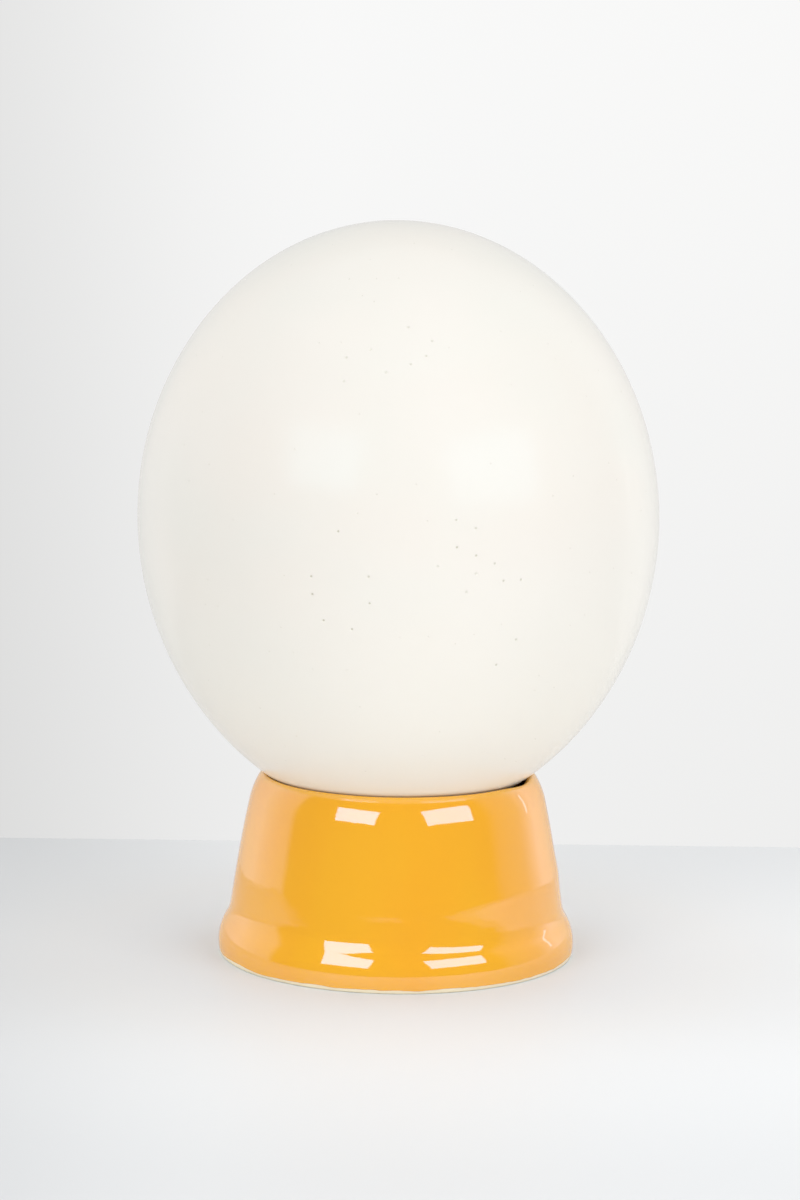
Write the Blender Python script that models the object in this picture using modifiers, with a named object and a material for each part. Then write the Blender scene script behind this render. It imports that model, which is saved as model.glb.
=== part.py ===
"""Ostrich egg resting in the mouth of a glazed ceramic ring stand.

Two separate solids: the egg, and the stand that holds it. Lengths are in metres, +Z is up,
the origin is the centre of the stand's foot, and the foot rests on the plane z = 0.
"""

from math import cos, hypot, pi, radians, sin

import bpy
from mathutils import Matrix, Vector

# Both pieces are turned round an upright axis with this many sides.
SIDES = 64
MERGE_DISTANCE = 0.00001

# The gap kept between the egg and the lip it rests on.
RESTING_GAP = 0.0003

# Egg: an oval that is a little fuller above its middle and drawn in slightly at both ends.
EGG_LENGTH = 0.1504
EGG_WIDTH = 0.1310
EGG_UPPER_FULLNESS = 0.013
EGG_END_TAPER = 0.020
EGG_RINGS = 29
EGG_LEAN = radians(1.8)

# Stand lip: a round bead where the egg rests.
LIP_CENTRE_RADIUS = 0.0343
LIP_CENTRE_HEIGHT = 0.0443
LIP_BEAD_RADIUS = 0.00175
LIP_OUTER_ANGLE = radians(12)
LIP_INNER_ANGLE = radians(171)

# Stand wall: a cone whose side swells a little, from the lip down to the cove above the flange.
WALL_FOOT_RADIUS = 0.04225
WALL_FOOT_HEIGHT = 0.0132
WALL_SWELL = 0.0004

# Stand flange: an oval bead round the foot, joined to the wall by a hollow cove.
FLANGE_CENTRE_RADIUS = 0.0415
FLANGE_CENTRE_HEIGHT = 0.0030
FLANGE_BEAD_WIDTH = 0.00415
FLANGE_BEAD_HEIGHT = 0.0060
FLANGE_TOP_ANGLE = radians(46)
FLANGE_FOOT_ANGLE = radians(-27)
COVE_CORNER_RADIUS = 0.04278
COVE_CORNER_HEIGHT = 0.00955

# Stand foot: a flat ring, with its inner edge eased back to the inner wall.
FOOT_OUTER_RADIUS = 0.0447
FOOT_INNER_RADIUS = 0.0406
INNER_WALL_FOOT_RADIUS = 0.0396
INNER_WALL_FOOT_HEIGHT = 0.0012
INNER_WALL_STEPS = 7


def clear_scene():
    """Remove every object that is already in the scene."""
    for leftover in list(bpy.data.objects):
        bpy.data.objects.remove(leftover)


def make_collection(name):
    """Return a new collection, linked under the scene's own."""
    collection = bpy.data.collections.new(name)
    bpy.context.scene.collection.children.link(collection)
    return collection


def make_material(name, colour, roughness):
    """Return a non-metal Principled BSDF material with a linear RGB colour."""
    material = bpy.data.materials.new(name)
    material.use_nodes = True
    shader = material.node_tree.nodes["Principled BSDF"]
    shader.inputs["Base Color"].default_value = (*colour, 1.0)
    shader.inputs["Roughness"].default_value = roughness
    shader.inputs["Metallic"].default_value = 0.0
    return material


def arc(centre, radii, start, end, steps):
    """Return points on an oval arc, from the start angle to the end angle."""
    points = []
    for step in range(steps + 1):
        angle = start + (end - start) * step / steps
        points.append((centre[0] + radii[0] * cos(angle), centre[1] + radii[1] * sin(angle)))
    return points


def swelling_line(start, end, swell, steps):
    """Return points from start to end, pushed outwards by swell at the middle."""
    points = []
    for step in range(steps + 1):
        share = step / steps
        radius = start[0] + (end[0] - start[0]) * share + 4 * swell * share * (1 - share)
        points.append((radius, start[1] + (end[1] - start[1]) * share))
    return points


def blend_curve(start, corner, end, steps):
    """Return points on a curve that leaves start and meets end along the lines through corner."""
    points = []
    for step in range(steps + 1):
        share = step / steps
        weights = ((1 - share) ** 2, 2 * share * (1 - share), share**2)
        points.append(
            tuple(sum(w * p[axis] for w, p in zip(weights, (start, corner, end))) for axis in (0, 1))
        )
    return points


def turned_object(name, profile, closed, material, collection):
    """Return an object turned from (radius, height) points by a Screw modifier.

    A closed profile is a ring's cross-section. An open one starts and ends on the axis.
    """
    last = len(profile) - 1
    edges = [(i, i + 1) for i in range(last)] + ([(last, 0)] if closed else [])
    mesh = bpy.data.meshes.new(name)
    mesh.from_pydata([(radius, 0.0, height) for radius, height in profile], edges, [])
    mesh.materials.append(material)
    turned = bpy.data.objects.new(name, mesh)
    collection.objects.link(turned)
    screw = turned.modifiers.new("Turn", "SCREW")
    screw.axis = "Z"
    screw.angle = 2 * pi
    screw.steps = SIDES
    screw.render_steps = SIDES
    screw.use_merge_vertices = True
    screw.merge_threshold = MERGE_DISTANCE
    screw.use_smooth_shade = True
    return turned


def egg_profile(rings):
    """Return the egg's side about its own centre, from the upper pole down to the lower one."""
    points = []
    for ring in range(rings + 1):
        angle = pi * ring / rings
        fullness = 1 + EGG_UPPER_FULLNESS * cos(angle) - EGG_END_TAPER * cos(angle) ** 2
        radius = EGG_WIDTH / 2 * sin(angle) * fullness
        points.append((max(radius, 0.0), EGG_LENGTH / 2 * cos(angle)))
    points[-1] = (0.0, points[-1][1])
    return points


def lip_clearance(egg_height, outline):
    """Return the least distance between the lip's bead and an upright egg at this centre height."""
    nearest = min(
        hypot(radius - LIP_CENTRE_RADIUS, egg_height + height - LIP_CENTRE_HEIGHT)
        for radius, height in outline
    )
    return nearest - LIP_BEAD_RADIUS


def resting_height():
    """Return the height of the egg's centre at which it clears the lip by the resting gap."""
    outline = egg_profile(rings=2000)
    low = LIP_CENTRE_HEIGHT + EGG_LENGTH / 4
    high = LIP_CENTRE_HEIGHT + EGG_LENGTH
    for _ in range(40):
        middle = (low + high) / 2
        if lip_clearance(middle, outline) < RESTING_GAP:
            low = middle
        else:
            high = middle
    return high


def rocking_centre(egg_height):
    """Return the height on the axis about which the egg can rock without leaving the lip."""
    outline = egg_profile(rings=2000)
    touch = min(
        outline,
        key=lambda p: hypot(p[0] - LIP_CENTRE_RADIUS, egg_height + p[1] - LIP_CENTRE_HEIGHT),
    )
    rise = egg_height + touch[1] - LIP_CENTRE_HEIGHT
    run = touch[0] - LIP_CENTRE_RADIUS
    return LIP_CENTRE_HEIGHT - LIP_CENTRE_RADIUS * rise / run


def build_egg(collection):
    """Build the egg, leaning a little to one side in the mouth of the stand."""
    shell = make_material("eggshell", colour=(0.87, 0.82, 0.71), roughness=0.38)
    egg = turned_object("ostrich_egg", egg_profile(EGG_RINGS), False, shell, collection)
    height = resting_height()
    pivot = Vector((0.0, 0.0, rocking_centre(height)))
    lean = Matrix.Rotation(-EGG_LEAN, 3, "Y")
    egg.location = pivot + lean @ (Vector((0.0, 0.0, height)) - pivot)
    egg.rotation_euler = lean.to_euler()
    return egg


def stand_profile():
    """Return the stand's closed cross-section: over the lip, down the outside and up the inside."""
    lip = arc(
        (LIP_CENTRE_RADIUS, LIP_CENTRE_HEIGHT),
        (LIP_BEAD_RADIUS, LIP_BEAD_RADIUS),
        LIP_INNER_ANGLE,
        LIP_OUTER_ANGLE,
        steps=8,
    )
    flange = arc(
        (FLANGE_CENTRE_RADIUS, FLANGE_CENTRE_HEIGHT),
        (FLANGE_BEAD_WIDTH, FLANGE_BEAD_HEIGHT),
        FLANGE_TOP_ANGLE,
        FLANGE_FOOT_ANGLE,
        steps=8,
    )
    wall_foot = (WALL_FOOT_RADIUS, WALL_FOOT_HEIGHT)
    wall = swelling_line(lip[-1], wall_foot, WALL_SWELL, steps=8)
    cove = blend_curve(wall_foot, (COVE_CORNER_RADIUS, COVE_CORNER_HEIGHT), flange[0], steps=5)
    foot = [(FOOT_OUTER_RADIUS, 0.0), (FOOT_INNER_RADIUS, 0.0)]
    inner_foot = (INNER_WALL_FOOT_RADIUS, INNER_WALL_FOOT_HEIGHT)
    inner_wall = swelling_line(inner_foot, lip[0], 0.0, INNER_WALL_STEPS)
    return lip + wall[1:] + cove[1:] + flange[1:] + foot + inner_wall[:-1]


def build_stand(collection):
    """Build the ring stand, hollow right through and resting on its foot ring."""
    glaze = make_material("orange_glaze", colour=(0.92, 0.42, 0.02), roughness=0.12)
    return turned_object("egg_stand", stand_profile(), True, glaze, collection)


def main():
    clear_scene()
    collection = make_collection("ostrich_egg_on_stand")
    build_stand(collection)
    build_egg(collection)


main()
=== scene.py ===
"""Looks of an ostrich egg that rests in the mouth of a glazed ring stand.

Lengths are in metres, +Z is up, the origin is the centre of the stand's foot, and the foot
rests on the plane z = 0. A bearing is an angle round the upright axis, in degrees, with 0 at
the front (-Y) and +90 at the right (+X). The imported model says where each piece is. Here each
piece gets its finished surface: the egg its pores and mottling, the stand its throwing ring,
its cove and its glaze.
"""

import logging
from collections.abc import Callable, Iterator
from contextlib import contextmanager
from dataclasses import dataclass, field
from enum import Enum
from math import atan2, cos, degrees, exp, hypot, pi, radians, sin, tan
from random import Random

import bmesh
import bpy
from mathutils import Matrix, Vector
from mathutils.kdtree import KDTree


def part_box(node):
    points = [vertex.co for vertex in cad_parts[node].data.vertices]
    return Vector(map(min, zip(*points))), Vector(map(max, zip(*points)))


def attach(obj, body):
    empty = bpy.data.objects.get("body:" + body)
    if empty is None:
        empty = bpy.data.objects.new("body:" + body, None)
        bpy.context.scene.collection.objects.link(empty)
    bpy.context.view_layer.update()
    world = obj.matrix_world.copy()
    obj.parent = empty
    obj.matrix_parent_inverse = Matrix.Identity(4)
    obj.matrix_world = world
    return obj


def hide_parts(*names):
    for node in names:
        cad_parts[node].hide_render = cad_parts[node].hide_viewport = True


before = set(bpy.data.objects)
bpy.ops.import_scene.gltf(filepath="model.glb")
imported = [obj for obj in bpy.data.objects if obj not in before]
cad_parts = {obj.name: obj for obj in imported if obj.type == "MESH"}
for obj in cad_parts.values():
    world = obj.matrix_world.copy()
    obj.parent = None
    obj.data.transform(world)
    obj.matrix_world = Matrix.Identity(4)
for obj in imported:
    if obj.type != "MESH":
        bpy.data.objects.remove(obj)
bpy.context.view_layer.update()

LOG = logging.getLogger("ostrich_egg")

MERGE_DISTANCE = 0.000002
# The vertex bevel's profile that makes a hole of two segments a side evenly round.
ROUND_HOLE = 0.0858

Point = tuple[float, float]
Span = tuple[float, float]
Colour = tuple[float, float, float]
Weight = Callable[[Vector], float]
Socket = bpy.types.NodeSocket


class Slot(Enum):
    """The record's material slots."""

    EGGSHELL = "eggshell"
    ORANGE_GLAZE = "orange_glaze"


class Node(Enum):
    """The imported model's nodes."""

    EGG = "ostrich_egg"
    STAND = "egg_stand"


# ---------------------------------------------------------------------------------- outlines


def arc(centre: Point, radius: float, start: float, end: float, steps: int) -> list[Point]:
    """Return points on a round arc.

    Args:
        centre: The arc's centre, as (radius from the axis, height).
        radius: The arc's own radius.
        start: The angle of the first point, in degrees above level.
        end: The angle of the last point.
        steps: How many stretches the arc is cut into.

    Returns:
        The points, from start to end.
    """
    angles = [radians(start + (end - start) * step / steps) for step in range(steps + 1)]
    return [(centre[0] + radius * cos(a), centre[1] + radius * sin(a)) for a in angles]


@dataclass(frozen=True)
class Station:
    """A place that an outline passes through.

    Its lean is how far the outline leans in from upright there, in degrees, and its steps are
    how many stretches the curve that ends there is cut into.
    """

    radius: float
    height: float
    lean: float
    steps: int = 0


def leaning_curve(start: Station, end: Station) -> list[Point]:
    """Return points on a curve that has the lean of both its ends.

    Args:
        start: Where the curve begins.
        end: Where it ends.

    Returns:
        The points past the start, the last of them at the end.
    """
    run_out, run_in = tan(radians(start.lean)), tan(radians(end.lean))
    rise = start.radius - end.radius + run_out * start.height - run_in * end.height
    height = rise / (run_out - run_in)
    corner = (start.radius - run_out * (height - start.height), height)
    pulls = ((start.radius, start.height), corner, (end.radius, end.height))
    points = []
    for step in range(1, end.steps + 1):
        share = step / end.steps
        weights = ((1 - share) ** 2, 2 * share * (1 - share), share**2)
        points.append(tuple(sum(w * p[axis] for w, p in zip(weights, pulls)) for axis in (0, 1)))
    return points


def bearing(place: Vector) -> float:
    """Return a place's bearing round the axis, in degrees."""
    return degrees(atan2(place.x, -place.y))


def bell(value: float, centre: float, width: float) -> float:
    """Return 1 at the centre, falling smoothly to nothing a few widths away."""
    return exp(-(((value - centre) / width) ** 2))


def turn_between(angle: float, other: float) -> float:
    """Return the turn from one bearing to another, between -180 and 180 degrees."""
    return (angle - other + 180.0) % 360.0 - 180.0


def share_between(value: float, start: float, end: float) -> float:
    """Return how far a value has come from start to end, from 0 to 1."""
    return min(max((value - start) / (end - start), 0.0), 1.0)


def everywhere(place: Vector) -> float:
    """Return the full weight, wherever the place is."""
    return 1.0


# ------------------------------------------------------------------------------ modelling by hand


@contextmanager
def open_mesh(piece: bpy.types.Object, element: str = "VERT") -> Iterator[bmesh.types.BMesh]:
    """Open one piece in edit mode with nothing selected, and close it again.

    Args:
        piece: The mesh object to edit.
        element: What is selected in it: VERT, EDGE or FACE.

    Yields:
        The edit mesh, for choosing what the next operator acts on.
    """
    bpy.ops.object.select_all(action="DESELECT")
    bpy.context.view_layer.objects.active = piece
    piece.select_set(True)
    bpy.ops.object.mode_set(mode="EDIT")
    bpy.ops.mesh.select_mode(type=element)
    bpy.ops.mesh.select_all(action="DESELECT")
    yield bmesh.from_edit_mesh(piece.data)
    bpy.ops.object.mode_set(mode="OBJECT")


def draw_outline(name: str, outline: list[Point]) -> bpy.types.Object:
    """Draw an outline in the XZ plane by pulling one vertex out after another.

    Args:
        name: The new piece's name.
        outline: Its points, as (radius from the axis, height).

    Returns:
        The new piece, a chain of edges with its origin on the axis.
    """
    first = outline[0]
    bpy.ops.object.select_all(action="DESELECT")
    bpy.ops.mesh.primitive_plane_add(size=0.001, location=(first[0], 0.0, first[1]))
    piece = bpy.context.object
    piece.name = piece.data.name = name
    bpy.ops.object.transform_apply(location=True)
    bpy.ops.object.mode_set(mode="EDIT")
    bpy.ops.mesh.select_all(action="SELECT")
    bpy.ops.mesh.merge(type="CENTER")
    for here, there in zip(outline, outline[1:]):
        pull = (there[0] - here[0], 0.0, there[1] - here[1])
        bpy.ops.mesh.extrude_region_move(TRANSFORM_OT_translate={"value": pull})
    bpy.ops.object.mode_set(mode="OBJECT")
    return piece


def turn_outline(name: str, outline: list[Point], steps: int) -> bpy.types.Object:
    """Turn an outline once round the axis into a closed, outward-facing mesh.

    Args:
        name: The new piece's name.
        outline: Its points. It ends where it began, or begins and ends on the axis.
        steps: How many facets go round.

    Returns:
        The new piece.
    """
    piece = draw_outline(name, outline)
    with open_mesh(piece):
        bpy.ops.mesh.select_all(action="SELECT")
        bpy.ops.mesh.spin(steps=steps, angle=2 * pi, center=(0, 0, 0), axis=(0, 0, 1))
        bpy.ops.mesh.select_all(action="SELECT")
        bpy.ops.mesh.remove_doubles(threshold=MERGE_DISTANCE)
        bpy.ops.mesh.normals_make_consistent(inside=False)
    bpy.ops.object.shade_smooth()
    return piece


def apply_modifier(piece: bpy.types.Object, kind: str, **settings: object) -> None:
    """Add a modifier to a piece, set it up and apply it."""
    bpy.ops.object.select_all(action="DESELECT")
    bpy.context.view_layer.objects.active = piece
    piece.select_set(True)
    bpy.ops.object.modifier_add(type=kind)
    modifier = piece.modifiers[-1]
    for setting, value in settings.items():
        setattr(modifier, setting, value)
    bpy.ops.object.modifier_apply(modifier=modifier.name)


def push_out(piece: bpy.types.Object, weight: Weight, distance: float, **pattern: object) -> None:
    """Push a piece's surface out along its normals, by a weight that changes from place to place.

    Args:
        piece: The mesh object to shape.
        weight: Gives a place its weight, from 0 to 1.
        distance: How far a weight of 1 goes out, or in where it is negative.
        pattern: More of the Displace modifier's settings, for a push that follows a texture.
    """
    group = piece.vertex_groups.new(name="reach")
    for vertex in piece.data.vertices:
        group.add([vertex.index], weight(vertex.co), "REPLACE")
    settings = {"strength": distance, "mid_level": 0.0, "vertex_group": group.name, **pattern}
    apply_modifier(piece, "DISPLACE", **settings)
    piece.vertex_groups.clear()


def make_uneven(piece: bpy.types.Object, weight: Weight, depth: float, patch: float) -> None:
    """Make a piece's surface softly uneven.

    Args:
        piece: The mesh object to shape.
        weight: Gives a place its share of the unevenness, from 0 to 1.
        depth: The distance between its lowest and highest places.
        patch: How wide a swelling or a hollow is.
    """
    texture = bpy.data.textures.new(piece.name + "_unevenness", type="CLOUDS")
    texture.noise_scale = patch
    push_out(piece, weight, depth, mid_level=0.5, texture=texture, texture_coords="LOCAL")
    bpy.data.textures.remove(texture)


def vertex_tree(piece: bpy.types.Object) -> KDTree:
    """Return a search tree of a piece's vertices."""
    tree = KDTree(len(piece.data.vertices))
    for vertex in piece.data.vertices:
        tree.insert(vertex.co, vertex.index)
    tree.balance()
    return tree


def neighbours(piece: bpy.types.Object) -> dict[int, set[int]]:
    """Return, for each of a piece's vertices, the vertices of the faces round it."""
    beside: dict[int, set[int]] = {}
    for face in piece.data.polygons:
        for corner in face.vertices:
            beside.setdefault(corner, set()).update(face.vertices)
    return beside


@dataclass(frozen=True)
class Pit:
    """A small round hole sunk into a surface, about one of its vertices.

    Its side goes down in stretches. Each is a share of the depth and runs in by the same share
    of the mouth.
    """

    rim: float
    mouth: float
    depth: float
    darkness: float
    run_in: float = 0.2
    depth_shares: tuple[float, ...] = (0.6, 0.4)

    def sink(self, piece: bpy.types.Object, places: list[Vector]) -> None:
        """Sink a pit at each of these vertices, and mark its bottom.

        Args:
            piece: The mesh object to shape. Its "pit" attribute gets a pit's darkness at its bottom.
            places: Where the pits are, each at a vertex. No two of them share an edge.
        """
        tree = vertex_tree(piece)
        with open_mesh(piece) as mesh:
            mesh.verts.ensure_lookup_table()
            for place in places:
                mesh.verts[tree.find(place)[1]].select_set(True)
            bpy.ops.mesh.bevel(offset=self.rim, affect="VERTICES", segments=2, profile=ROUND_HOLE)
            bpy.ops.mesh.select_mode(type="FACE")
            bpy.ops.mesh.inset(thickness=self.rim - self.mouth, depth=0.0, use_individual=False)
            for share in self.depth_shares:
                run, drop = self.mouth * self.run_in, self.depth * share
                bpy.ops.mesh.inset(thickness=run, depth=-drop, use_individual=False)
        if "pit" not in piece.data.attributes:
            piece.data.attributes.new("pit", "FLOAT", "POINT")
        for vertex, mark in zip(piece.data.vertices, piece.data.attributes["pit"].data):
            if vertex.select:
                mark.value = self.darkness


# ------------------------------------------------------------------------------------- finishes


class Board:
    """A node board, with short calls for what the finishes and the room share."""

    def __init__(self, tree: bpy.types.NodeTree, coordinates: str) -> None:
        """Start work on a node tree, with its patterns in one kind of coordinates."""
        self.nodes = tree.nodes
        self.links = tree.links
        self.place = self.nodes.new("ShaderNodeTexCoord").outputs[coordinates]

    def noise(self, scale: float, detail: float = 2.0, stretch: Vector = Vector((1, 1, 1))) -> Socket:
        """Return a soft noise, from 0 to 1 about 0.5.

        Args:
            scale: How many patches lie along a metre.
            detail: How many finer layers are added.
            stretch: How much denser the patches are along each axis.

        Returns:
            The noise's value.
        """
        spread = self.nodes.new("ShaderNodeMapping")
        spread.inputs["Scale"].default_value = stretch
        self.links.new(self.place, spread.inputs["Vector"])
        made = self.nodes.new("ShaderNodeTexNoise")
        made.inputs["Scale"].default_value = scale
        made.inputs["Detail"].default_value = detail
        self.links.new(spread.outputs["Vector"], made.inputs["Vector"])
        return made.outputs["Fac"]

    def along(self, axis: str) -> Socket:
        """Return how far a place lies along one axis, X, Y or Z."""
        split = self.nodes.new("ShaderNodeSeparateXYZ")
        self.links.new(self.place, split.inputs["Vector"])
        return split.outputs[axis]

    def reach(self) -> Socket:
        """Return how far a place lies from the origin."""
        made = self.nodes.new("ShaderNodeVectorMath")
        made.operation = "LENGTH"
        self.links.new(self.place, made.inputs[0])
        return made.outputs["Value"]

    def attribute(self, name: str) -> Socket:
        """Return the value of one of the piece's own attributes."""
        made = self.nodes.new("ShaderNodeAttribute")
        made.attribute_name = name
        return made.outputs["Fac"]

    def ramp(self, value: Socket, ends: Span, levels: Span = (0.0, 1.0)) -> Socket:
        """Return a value that goes smoothly from one level to another.

        Args:
            value: What the level follows.
            ends: The values where the change begins and ends.
            levels: The levels there.

        Returns:
            The level.
        """
        made = self.nodes.new("ShaderNodeMapRange")
        made.interpolation_type = "SMOOTHSTEP"
        for socket, number in zip(("From Min", "From Max", "To Min", "To Max"), (*ends, *levels)):
            made.inputs[socket].default_value = number
        self.links.new(value, made.inputs["Value"])
        return made.outputs["Result"]

    def combine(self, operation: str, first: Socket, second: Socket | float) -> Socket:
        """Return the result of one sum on two values."""
        made = self.nodes.new("ShaderNodeMath")
        made.operation = operation
        self.links.new(first, made.inputs[0])
        if isinstance(second, float):
            made.inputs[1].default_value = second
        else:
            self.links.new(second, made.inputs[1])
        return made.outputs["Value"]

    def blend(self, share: Socket, first: Socket | Colour, second: Socket | Colour) -> Socket:
        """Return a colour between two.

        Args:
            share: How much of the second colour there is.
            first: The colour where share is 0.
            second: The colour where share is 1.

        Returns:
            The blended colour.
        """
        made = self.nodes.new("ShaderNodeMix")
        made.data_type = "RGBA"
        self.links.new(share, made.inputs[0])
        for socket, colour in ((made.inputs[6], first), (made.inputs[7], second)):
            if isinstance(colour, tuple):
                socket.default_value = (*colour, 1.0)
            else:
                self.links.new(colour, socket)
        return made.outputs[2]

    def bump(self, height: Socket, depth: float, strength: float, under: Socket | None = None) -> Socket:
        """Return a normal that a height pattern tilts, on top of another where one is given."""
        made = self.nodes.new("ShaderNodeBump")
        made.inputs["Distance"].default_value = depth
        made.inputs["Strength"].default_value = strength
        self.links.new(height, made.inputs["Height"])
        if under is not None:
            self.links.new(under, made.inputs["Normal"])
        return made.outputs["Normal"]


class FinishBoard(Board):
    """The node board of a new material with one Principled shader."""

    def __init__(self, name: str) -> None:
        """Start the material."""
        self.material = bpy.data.materials.new(name)
        self.material.use_nodes = True
        super().__init__(self.material.node_tree, "Object")
        self.shader = self.nodes["Principled BSDF"]

    def set(self, **values: object) -> None:
        """Set the shader's own sockets, each named with underscores for its spaces."""
        for socket, value in values.items():
            self.shader.inputs[socket.replace("_", " ")].default_value = value

    def dress(self, piece: bpy.types.Object, **sockets: Socket) -> None:
        """Link patterns to the shader's sockets, and give a piece this material alone."""
        for socket, pattern in sockets.items():
            self.links.new(pattern, self.shader.inputs[socket.replace("_", " ")])
        piece.data.materials.clear()
        piece.data.materials.append(self.material)


@dataclass(frozen=True)
class EggshellFinish:
    """Dense cream shell with a dull polish, faint mottling and greyer pores, and painted bounce light that
    makes its lower half lighter and yellower.
    """

    shell: Colour = (0.856, 0.822, 0.768)
    warm_patch: Colour = (0.856, 0.811, 0.748)
    cool_patch: Colour = (0.838, 0.814, 0.756)
    # Painted bounce light: the lighter, yellower colour of the shell's lower half, standing in for light
    # thrown up from the table and the stand.
    painted_bounce_colour: Colour = (0.955, 0.920, 0.838)
    pore: Colour = (0.440, 0.400, 0.290)
    polish_tint: Colour = (0.40, 0.80, 1.00)
    specular: float = 0.13
    roughness: Span = (0.15, 0.20)
    # How many patches of each kind lie along a metre.
    warm_patches: float = 18.0
    cool_patches: float = 33.0
    dull_patches: float = 60.0
    stains: float = 70.0
    grains: float = 900.0
    # The share of its darkness that a pore shows.
    stain_share: Span = (0.20, 0.70)
    grain_depth: float = 0.00003
    grain_strength: float = 0.10
    # Painted bounce light: the heights where the shell begins to be painted lighter and where it is painted
    # lightest.
    painted_bounce_heights: Span = (0.120, 0.040)

    def dress(self, piece: bpy.types.Object) -> None:
        """Give a piece this finish."""
        board = FinishBoard("eggshell")
        board.set(Specular_IOR_Level=self.specular, Specular_Tint=(*self.polish_tint, 1.0))
        warm = board.ramp(board.noise(self.warm_patches, 1.0), (0.25, 0.75))
        cool = board.ramp(board.noise(self.cool_patches, 1.0), (0.30, 0.80))
        colour = board.blend(cool, board.blend(warm, self.shell, self.warm_patch), self.cool_patch)
        # Painted bounce light: the shell is painted lighter and yellower towards its bottom.
        colour = board.blend(board.ramp(board.along("Z"), self.painted_bounce_heights), colour, self.painted_bounce_colour)
        stain = board.ramp(board.noise(self.stains), (0.35, 0.65), self.stain_share)
        stain = board.combine("MULTIPLY", board.attribute("pit"), stain)
        dull = board.ramp(board.noise(self.dull_patches, 1.0), (0.3, 0.7), self.roughness)
        grain = board.noise(self.grains, 1.0)
        board.dress(
            piece,
            Base_Color=board.blend(stain, colour, self.pore),
            Roughness=dull,
            Normal=board.bump(grain, self.grain_depth, self.grain_strength),
        )


@dataclass(frozen=True)
class GlazeFinish:
    """Glossy orange glaze over cream clay, which the foot leaves bare, with a paler orange painted over the
    top of the lip as a painted reflection of the ceiling.
    """

    glaze: Colour = (1.000, 0.480, 0.001)
    thick_glaze: Colour = (1.000, 0.455, 0.001)
    # A paler orange painted over the top of the lip: a painted reflection of the bright ceiling.
    painted_lip_reflection: Colour = (0.970, 0.520, 0.020)
    glint: Colour = (0.60, 0.62, 1.00)
    clay: Colour = (0.970, 0.850, 0.580)
    glaze_roughness: float = 0.045
    clay_roughness: float = 0.70
    glaze_ior: float = 2.15
    # Runs of thick glaze are longer down the wall than they are broad.
    runs: float = 45.0
    run_stretch: tuple[float, float, float] = (1.0, 1.0, 0.45)
    # How far above the lip height the painted reflection reaches its full strength.
    painted_reflection_rise: float = 0.0022
    # The glaze ends at a line that wanders up and down, in a thin step.
    line_height: float = 0.00100
    line_wander: float = 0.00028
    line_waves: float = 80.0
    line_softness: float = 0.00008
    line_step: float = 0.00015
    line_strength: float = 0.6
    ripples: float = 160.0
    ripple_stretch: tuple[float, float, float] = (1.0, 1.0, 1.6)
    ripple_depth: float = 0.0004
    ripple_strength: float = 0.06

    def dress(self, piece: bpy.types.Object, lip_height: float) -> None:
        """Give a piece this finish.

        Args:
            piece: The stand.
            lip_height: The height where the painted reflection begins on the lip.
        """
        board = FinishBoard("orange_glaze")
        board.set(IOR=self.glaze_ior, Specular_Tint=(*self.glint, 1.0))
        height = board.along("Z")
        runs = board.ramp(board.noise(self.runs, 2.0, Vector(self.run_stretch)), (0.35, 0.72))
        colour = board.blend(runs, self.glaze, self.thick_glaze)
        # Painted reflection: the top of the lip is painted a paler orange, as if it mirrored the ceiling.
        lip_reflection = board.ramp(height, (lip_height, lip_height + self.painted_reflection_rise))
        colour = board.blend(lip_reflection, colour, self.painted_lip_reflection)
        waves = board.noise(self.line_waves, 3.0)
        wander = board.ramp(waves, (0.25, 0.75), (-self.line_wander, self.line_wander))
        edge = (self.line_height - self.line_softness, self.line_height + self.line_softness)
        glazed = board.ramp(board.combine("ADD", height, wander), edge)
        ripples = board.noise(self.ripples, 2.0, Vector(self.ripple_stretch))
        ripple = board.bump(ripples, self.ripple_depth, self.ripple_strength)
        board.dress(
            piece,
            Base_Color=board.blend(glazed, self.clay, colour),
            Roughness=board.ramp(glazed, (0.0, 1.0), (self.clay_roughness, self.glaze_roughness)),
            Normal=board.bump(glazed, self.line_step, self.line_strength, ripple),
        )


@dataclass(frozen=True)
class TableFinish:
    """Plain pale table top, with painted shade at the left and at the front, and a painted cooler tint
    round the stand that offsets the orange light the stand throws on it.
    """

    colour: Colour = (0.797, 0.807, 0.818)
    # A painted cooler tint round the stand's foot, offsetting the orange light the stand throws on the
    # table.
    painted_cool_near_stand: Colour = (0.770, 0.812, 0.860)
    shaded: Colour = (0.0, 0.0, 0.0)
    left_shade: float = 0.79
    left_reach: Span = (-0.14, -0.03)
    front_shade: float = 0.84
    front_reach: Span = (-0.20, -0.08)
    painted_cool_reach: Span = (0.048, 0.090)
    roughness: float = 0.55
    specular: float = 0.3

    def dress(self, piece: bpy.types.Object) -> None:
        """Give a piece this finish."""
        board = FinishBoard("table_top")
        board.set(Roughness=self.roughness, Specular_IOR_Level=self.specular)
        # Painted shade: the table is painted darker towards the left and towards the front.
        across = board.ramp(board.along("X"), self.left_reach, (self.left_shade, 1.0))
        forward = board.ramp(board.along("Y"), self.front_reach, (self.front_shade, 1.0))
        # Painted cooler tint near the stand, fading out further away.
        colour = board.blend(board.ramp(board.reach(), self.painted_cool_reach), self.painted_cool_near_stand, self.colour)
        light = board.combine("MULTIPLY", across, forward)
        board.dress(piece, Base_Color=board.blend(light, self.shaded, colour))


# -------------------------------------------------------------------------------------- the egg


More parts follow.
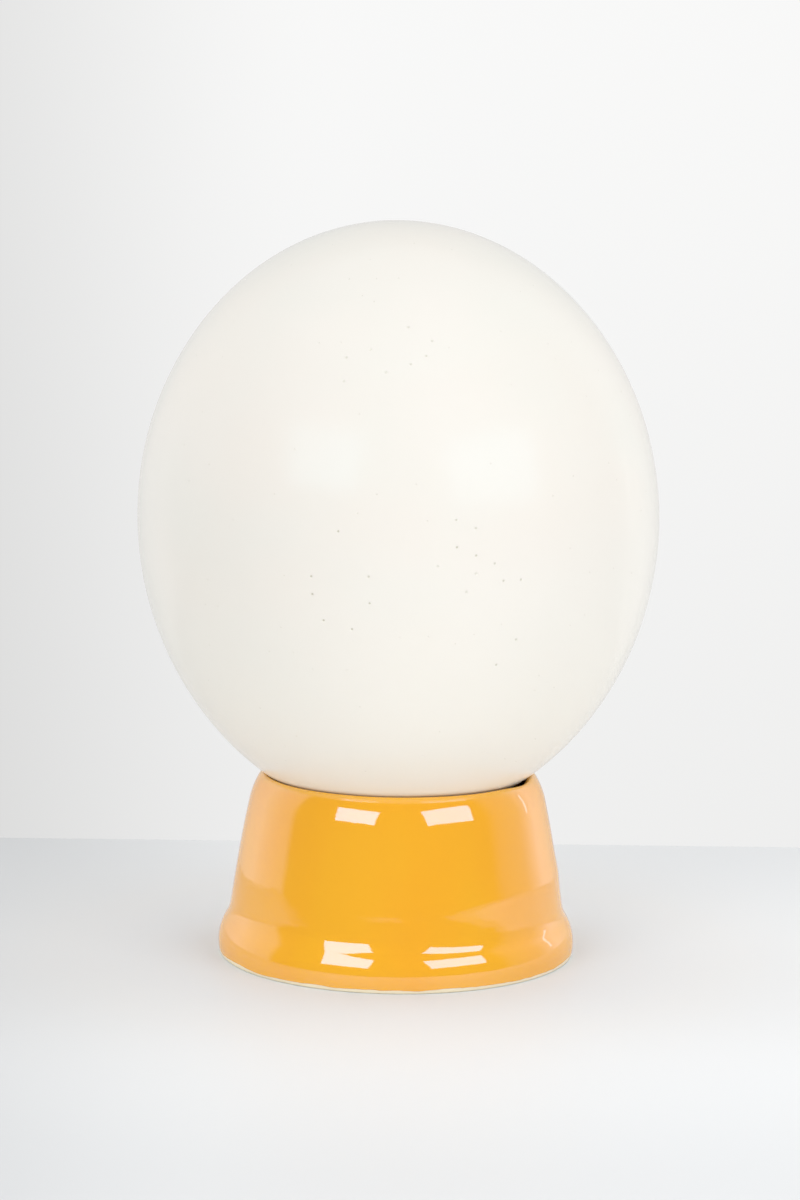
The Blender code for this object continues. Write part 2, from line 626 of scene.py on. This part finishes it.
@dataclass(frozen=True)
class PoreGroup:
    """Pores that lie near each other on the shell, in a patch or in a ring."""

    bearing: float
    height: float
    bearing_spread: float
    height_spread: float
    count: int
    ring: bool = False
    # How far out a ring's pores lie, and how widely a patch's pores are strewn, in spreads.
    ring_breadth: Span = (0.86, 1.06)
    strewn: float = 0.55

    def places(self, draw: Random) -> list[Point]:
        """Draw the pores' places, each as (bearing, height above the egg's middle)."""
        made = []
        for _ in range(self.count):
            turn, reach = draw.uniform(0.0, 2 * pi), draw.uniform(*self.ring_breadth)
            across, up = reach * cos(turn), reach * sin(turn)
            if not self.ring:
                across, up = draw.gauss(0.0, self.strewn), draw.gauss(0.0, self.strewn)
            turned, raised = across * self.bearing_spread, up * self.height_spread
            made.append((self.bearing + turned, self.height + raised))
        return made


@dataclass
class OstrichEgg:
    """An ostrich egg, a little fuller above its middle and drawn in slightly at both ends."""

    length: float = 0.1504
    width: float = 0.1310
    upper_fullness: float = 0.013
    end_taper: float = 0.020
    lean: float = 1.8
    rings: int = 112
    sides: int = 180
    unevenness: float = 0.00020
    uneven_patch: float = 0.030
    pore_seed: int = 5
    wide_pore: Pit = Pit(rim=0.00066, mouth=0.00042, depth=0.00013, darkness=1.0)
    fine_pore: Pit = Pit(rim=0.00036, mouth=0.00026, depth=0.00006, darkness=0.35)
    # A pore lies no nearer the axis than this, because the shell's faces are too small there.
    wide_pore_radius: float = 0.043
    fine_pore_radius: float = 0.021
    scattered_pores: int = 300
    # The lowest and the highest scattered pore, in lengths above the egg's middle.
    scatter_reach: Span = (-0.47, 0.49)
    pore_groups: tuple[PoreGroup, ...] = (
        PoreGroup(-11.4, -0.008, bearing_spread=6.7, height_spread=0.0114, count=15, ring=True),
        PoreGroup(14.6, -0.004, bearing_spread=6.0, height_spread=0.007, count=12),
        PoreGroup(25.0, -0.012, bearing_spread=4.0, height_spread=0.010, count=5),
        PoreGroup(-3.0, 0.043, bearing_spread=11.0, height_spread=0.009, count=9),
    )
    finish: EggshellFinish = EggshellFinish()

    def outline(self) -> list[Point]:
        """Return the side of the shell about its own centre, from the upper pole down."""
        points = []
        for ring in range(self.rings + 1):
            angle = pi * ring / self.rings
            fullness = 1 + self.upper_fullness * cos(angle) - self.end_taper * cos(angle) ** 2
            radius = self.width / 2 * sin(angle) * fullness
            points.append((max(radius, 0.0), self.length / 2 * cos(angle)))
        return points

    def seat(self, piece: bpy.types.Object) -> None:
        """Lean the egg to the left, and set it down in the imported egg's own box."""
        low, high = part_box(Node.EGG.value)
        with open_mesh(piece):
            bpy.ops.mesh.select_all(action="SELECT")
            bpy.ops.transform.rotate(
                value=radians(self.lean), orient_axis="Y", center_override=(0.0, 0.0, 0.0)
            )
        rows = list(zip(*(vertex.co for vertex in piece.data.vertices)))
        middle = Vector([(min(row) + max(row)) / 2 for row in rows])
        with open_mesh(piece):
            bpy.ops.mesh.select_all(action="SELECT")
            bpy.ops.transform.translate(value=(Vector(low) + Vector(high)) / 2 - middle)

    def wanted_pores(self) -> tuple[list[Point], list[Point]]:
        """Draw where pores should open, each as (bearing, height above the egg's middle).

        Returns:
            The places in the groups, and the places scattered over the whole egg.
        """
        draw = Random(self.pore_seed)
        grouped = [place for group in self.pore_groups for place in group.places(draw)]
        scattered = []
        for _ in range(self.scattered_pores):
            turn, rise = draw.uniform(-180.0, 180.0), draw.uniform(*self.scatter_reach)
            scattered.append((turn, rise * self.length))
        return grouped, scattered

    def pore_places(self, piece: bpy.types.Object) -> tuple[list[Vector], list[Vector]]:
        """Choose where pores open, each at a vertex.

        Args:
            piece: The upright egg, about its own centre.

        Returns:
            The places of the wide pores and of the fine ones, no two of them neighbours.
        """
        tree = vertex_tree(piece)
        beside = neighbours(piece)
        grouped, scattered = self.wanted_pores()
        wide: list[Vector] = []
        fine: list[Vector] = []
        taken: set[int] = set()
        for number, (turn, height) in enumerate(grouped + scattered):
            side = self.width / 2 * (1 - (2 * height / self.length) ** 2) ** 0.5
            place = Vector((side * sin(radians(turn)), -side * cos(radians(turn)), height))
            found, nearest, _ = tree.find(place)
            radius = hypot(found.x, found.y)
            if nearest not in taken and radius > self.fine_pore_radius:
                opens_wide = number < len(grouped) and radius > self.wide_pore_radius
                (wide if opens_wide else fine).append(found)
                taken |= beside[nearest]
        return wide, fine

    def build(self) -> bpy.types.Object:
        """Build and dress the egg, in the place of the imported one."""
        egg = turn_outline("eggshell", self.outline(), self.sides)
        wide, fine = self.pore_places(egg)
        self.wide_pore.sink(egg, wide)
        self.fine_pore.sink(egg, fine)
        make_uneven(egg, everywhere, self.unevenness, self.uneven_patch)
        self.seat(egg)
        self.finish.dress(egg)
        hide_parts(Node.EGG.value)
        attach(egg, "root")
        return egg


# ------------------------------------------------------------------------------------ the stand


@dataclass(frozen=True)
class Swelling:
    """A soft ridge round the outside of the wall, or a hollow where its rise is negative.

    It is strongest at one bearing, and keeps a least share of its rise all the way round.
    """

    height: float
    height_spread: float
    bearing: float
    bearing_spread: float
    rise: float
    least_share: float = 0.0
    # Nearer the axis than this lie the inner wall and the lip, which it leaves alone.
    inner_radius: float = 0.0395

    def weight(self, place: Vector) -> float:
        """Return how strongly it stands out at a place, from 0 to 1."""
        if hypot(place.x, place.y) < self.inner_radius:
            return 0.0
        side = bell(turn_between(bearing(place), self.bearing), 0.0, self.bearing_spread)
        share = self.least_share + (1.0 - self.least_share) * side
        return bell(place.z, self.height, self.height_spread) * share


@dataclass(frozen=True)
class LipDip:
    """A short stretch of the lip that has sunk away from the egg."""

    bearing: float = 65.0
    bearing_spread: float = 9.0
    drop: float = 0.0011
    # The lip sinks fully inside the inner radius and not at all outside the outer one, and in
    # the same way above the upper height and below the lower one.
    outer_radius: float = 0.0351
    inner_radius: float = 0.0335
    lower: float = 0.040
    upper: float = 0.043

    def weight(self, place: Vector) -> float:
        """Return how far the lip has sunk at a place, from 0 to 1."""
        inner = share_between(hypot(place.x, place.y), self.outer_radius, self.inner_radius)
        high = share_between(place.z, self.lower, self.upper)
        return inner * high * bell(turn_between(bearing(place), self.bearing), 0.0, self.bearing_spread)


@dataclass
class RingStand:
    """A thrown ring stand: a flaring wall with a rounded lip, a hollow cove and a bead at the foot."""

    sides: int = 288
    lip_radius: float = 0.0343
    lip_height: float = 0.0443
    lip_bead: float = 0.00185
    lip_inner_angle: float = 171.0
    lip_steps: int = 14
    lip_lean: float = 89.0
    shoulder: Station = Station(0.0361, 0.0439, lean=27.0, steps=12)
    wall_top: Station = Station(0.03765, 0.0396, lean=13.0, steps=8)
    wall_foot: Station = Station(0.04235, 0.0130, lean=8.4, steps=34)
    cove: Station = Station(0.0437, 0.0090, lean=31.0, steps=9)
    bead_top: Station = Station(0.0451, 0.0057, lean=13.5, steps=8)
    bead_middle: Station = Station(0.04545, 0.0030, lean=0.0, steps=6)
    foot_edge: Station = Station(0.04515, 0.00025, lean=-26.0, steps=7)
    foot_outer: float = 0.0448
    foot_inner: float = 0.0406
    inner_foot: Station = Station(0.0396, 0.0012, lean=8.4)
    inner_lip_lean: float = 10.3
    inner_wall_steps: int = 20
    throwing_ring: Swelling = Swelling(0.0212, 0.0038, 62.0, 48.0, rise=0.00032, least_share=0.06)
    short_ridge: Swelling = Swelling(0.0186, 0.0012, -6.0, 12.0, rise=0.00007)
    shallow_cove: Swelling = Swelling(0.0099, 0.0016, -35.0, 38.0, rise=0.00013)
    deep_cove: Swelling = Swelling(0.0099, 0.0016, 35.0, 38.0, rise=-0.00012)
    lip_dip: LipDip = LipDip()
    unevenness: float = 0.00010
    uneven_patch: float = 0.018
    flat_foot: float = 0.002
    finish: GlazeFinish = GlazeFinish()

    def outline(self) -> list[Point]:
        """Return the ring's cross-section: over the lip, down the outside and up the inside."""
        lip_centre = (self.lip_radius, self.lip_height)
        lip = arc(lip_centre, self.lip_bead, self.lip_inner_angle, 90.0, self.lip_steps)
        lip_top = Station(*lip[-1], self.lip_lean)
        wall = (lip_top, self.shoulder, self.wall_top, self.wall_foot)
        foot_bead = (self.cove, self.bead_top, self.bead_middle, self.foot_edge)
        stations = wall + foot_bead
        outline = list(lip)
        for start, end in zip(stations, stations[1:]):
            outline += leaning_curve(start, end)
        outline += [(self.foot_outer, 0.0), (self.foot_inner, 0.0)]
        outline.append((self.inner_foot.radius, self.inner_foot.height))
        inner_lip = Station(*lip[0], self.inner_lip_lean, self.inner_wall_steps)
        return outline + leaning_curve(self.inner_foot, inner_lip)

    def clear_of_foot(self, place: Vector) -> float:
        """Return 0 on the foot, which stays flat, and 1 a little above it."""
        return share_between(place.z, 0.0, self.flat_foot)

    def build(self) -> bpy.types.Object:
        """Build and dress the stand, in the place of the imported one."""
        stand = turn_outline("ring_stand", self.outline(), self.sides)
        for swelling in (self.throwing_ring, self.short_ridge, self.shallow_cove, self.deep_cove):
            push_out(stand, swelling.weight, swelling.rise)
        push_out(stand, self.lip_dip.weight, -self.lip_dip.drop)
        make_uneven(stand, self.clear_of_foot, self.unevenness, self.uneven_patch)
        self.finish.dress(stand, lip_height=self.lip_height)
        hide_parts(Node.STAND.value)
        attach(stand, "root")
        return stand


# ----------------------------------------------------------------------------------- the studio


@dataclass(frozen=True)
class SoftBox:
    """A flat white light that faces the stand."""

    name: str
    bearing: float
    elevation: float
    distance: float
    bearing_width: float
    elevation_width: float
    radiance: float
    glossy: bool = True

    def hang(self, target: Vector) -> bpy.types.Object:
        """Hang the light where the target sees it at its bearing and elevation."""
        turn, rise = radians(self.bearing), radians(self.elevation)
        way = Vector((sin(turn) * cos(rise), -cos(turn) * cos(rise), sin(rise)))
        bpy.ops.object.light_add(type="AREA", location=target + way * self.distance)
        light = bpy.context.object
        light.name = light.data.name = self.name
        light.rotation_mode = "QUATERNION"
        light.rotation_quaternion = way.to_track_quat("Z", "Y")
        light.visible_camera = False
        light.visible_glossy = self.glossy
        lamp = light.data
        lamp.shape = "RECTANGLE"
        lamp.size = 2 * self.distance * tan(radians(self.bearing_width / 2)) * cos(rise)
        lamp.size_y = 2 * self.distance * tan(radians(self.elevation_width / 2))
        lamp.energy = self.radiance * pi * lamp.size * lamp.size_y
        return light


@dataclass
class Studio:
    """A pale table in a white room that is dim behind the camera, with soft lights round it."""

    camera_place: Vector = field(default_factory=lambda: Vector((0.0, -0.711, 0.181)))
    camera_drop: float = 7.28
    camera_roll: float = 0.7
    lens: float = 85.0
    sensor: float = 36.0
    nearest_seen: float = 0.01
    farthest_seen: float = 50.0
    table_width: float = 5.0
    table_front: float = -3.0
    table_back: float = 0.128
    # All the lights face this height on the axis.
    lit_height: float = 0.042
    lights: tuple[SoftBox, ...] = (
        SoftBox("soft_box_left", -33.0, 25.2, 0.95, 34.0, 19.5, 4.6),
        SoftBox("soft_box_right", 41.0, 24.8, 0.55, 40.0, 21.0, 4.2),
        SoftBox("fill_card", -33.0, 6.0, 0.60, 80.0, 14.0, 0.95, glossy=False),
        SoftBox("strip_light", 115.5, 9.7, 0.60, 2.2, 16.5, 1.7),
    )
    # Brightness of the room at each bearing, below the ceiling.
    walls: tuple[Point, ...] = (
        (-180.0, 0.70),
        (-152.0, 0.80),
        (-124.0, 1.27),
        (-90.0, 0.85),
        (-84.0, 0.25),
        (-70.0, 0.22),
        (72.0, 0.24),
        (82.0, 0.52),
        (105.0, 0.70),
        (126.0, 1.50),
        (154.0, 0.80),
        (180.0, 0.70),
    )
    ceiling: float = 1.3
    ceiling_elevation: float = 52.0
    ceiling_edge: Span = (-0.02, 0.05)
    room_tint: Colour = (0.985, 0.995, 1.0)
    # The wall that is seen, from left to right and from the table upwards, by the part of the
    # view direction that lies along X and along Z.
    seen_across: Span = (-0.20, -0.02)
    left_to_right: Span = (0.74, 0.945)
    seen_upward: Span = (-0.30, 0.12)
    low_to_high: Span = (0.90, 1.0)
    wall_tint: Colour = (1.0, 1.0, 0.995)
    finish: TableFinish = TableFinish()

    def lay_table(self) -> bpy.types.Object:
        """Lay the table top, from well in front of the stand to just behind it."""
        bpy.ops.object.select_all(action="DESELECT")
        depth = self.table_back - self.table_front
        middle = (self.table_back + self.table_front) / 2
        bpy.ops.mesh.primitive_plane_add(size=1.0, location=(0.0, middle, 0.0))
        table = bpy.context.object
        table.name = table.data.name = "table_top"
        table.scale = (self.table_width, depth, 1.0)
        bpy.ops.object.transform_apply(location=True, scale=True)
        self.finish.dress(table)
        return table

    def wall_light(self, board: Board) -> Socket:
        """Return how bright the walls are all round, on the room's board."""
        turn = board.combine("ARCTAN2", board.along("X"), board.combine("MULTIPLY", board.along("Y"), -1.0))
        round_share = board.combine("ADD", board.combine("DIVIDE", turn, 2 * pi), 0.5)
        walls = board.nodes.new("ShaderNodeValToRGB")
        ramp = walls.color_ramp
        while len(ramp.elements) < len(self.walls):
            ramp.elements.new(0.5)
        brightest = max(level for _, level in self.walls)
        for stop, (angle, level) in zip(ramp.elements, self.walls):
            stop.position = angle / 360.0 + 0.5
            stop.color = (level / brightest,) * 3 + (1.0,)
        board.links.new(round_share, walls.inputs["Fac"])
        return board.combine("MULTIPLY", walls.outputs["Color"], brightest)

    def room_light(self, board: Board) -> Socket:
        """Return how bright the walls and the ceiling are, on the room's board."""
        edge = sin(radians(self.ceiling_elevation))
        overhead = board.ramp(board.along("Z"), (edge + self.ceiling_edge[0], edge + self.ceiling_edge[1]))
        room = board.nodes.new("ShaderNodeMix")
        board.links.new(overhead, room.inputs[0])
        board.links.new(self.wall_light(board), room.inputs[2])
        room.inputs[3].default_value = self.ceiling
        return room.outputs[0]

    def seen_wall(self, board: Board) -> Socket:
        """Return how bright the plain wall behind the table looks, on the room's board."""
        across = board.ramp(board.along("X"), self.seen_across, self.left_to_right)
        upward = board.ramp(board.along("Z"), self.seen_upward, self.low_to_high)
        return board.combine("MULTIPLY", across, upward)

    def paint_room(self) -> None:
        """Paint the room round the table: what lights it, and the plain wall that is seen."""
        world = bpy.data.worlds.new("white_room")
        bpy.context.scene.world = world
        world.use_nodes = True
        world.node_tree.nodes.clear()
        board = Board(world.node_tree, "Generated")
        choice = board.nodes.new("ShaderNodeMixShader")
        straight = board.nodes.new("ShaderNodeLightPath").outputs["Is Camera Ray"]
        board.links.new(straight, choice.inputs[0])
        paints = ((self.room_light(board), self.room_tint), (self.seen_wall(board), self.wall_tint))
        for place, (strength, tint) in enumerate(paints, start=1):
            paint = board.nodes.new("ShaderNodeBackground")
            paint.inputs["Color"].default_value = (*tint, 1.0)
            board.links.new(strength, paint.inputs["Strength"])
            board.links.new(paint.outputs[0], choice.inputs[place])
        output = board.nodes.new("ShaderNodeOutputWorld")
        board.links.new(choice.outputs[0], output.inputs["Surface"])

    def set_camera(self) -> bpy.types.Object:
        """Set up the camera in front of the stand, a little above the egg's middle."""
        bpy.ops.object.camera_add(location=self.camera_place)
        camera = bpy.context.object
        camera.name = camera.data.name = "camera"
        camera.data.lens = self.lens
        camera.data.sensor_width = self.sensor
        camera.data.clip_start = self.nearest_seen
        camera.data.clip_end = self.farthest_seen
        tilt = Matrix.Rotation(radians(90.0 - self.camera_drop), 3, "X")
        roll = Matrix.Rotation(radians(self.camera_roll), 3, "Z")
        camera.rotation_euler = (tilt @ roll).to_euler()
        bpy.context.scene.camera = camera
        return camera

    def build(self) -> None:
        """Build the whole studio."""
        self.set_camera()
        self.lay_table()
        self.paint_room()
        for light in self.lights:
            light.hang(Vector((0.0, 0.0, self.lit_height)))
        bpy.context.scene.view_settings.view_transform = "Standard"


def main() -> None:
    """Build the studio, the stand and the egg, and report each piece."""
    logging.basicConfig(level=logging.INFO, format="%(name)s: %(message)s")
    Studio().build()
    for sub_assembly in (RingStand(), OstrichEgg()):
        piece = sub_assembly.build()
        LOG.info("%s has %d faces", piece.name, len(piece.data.polygons))


if __name__ == "__main__":
    main()
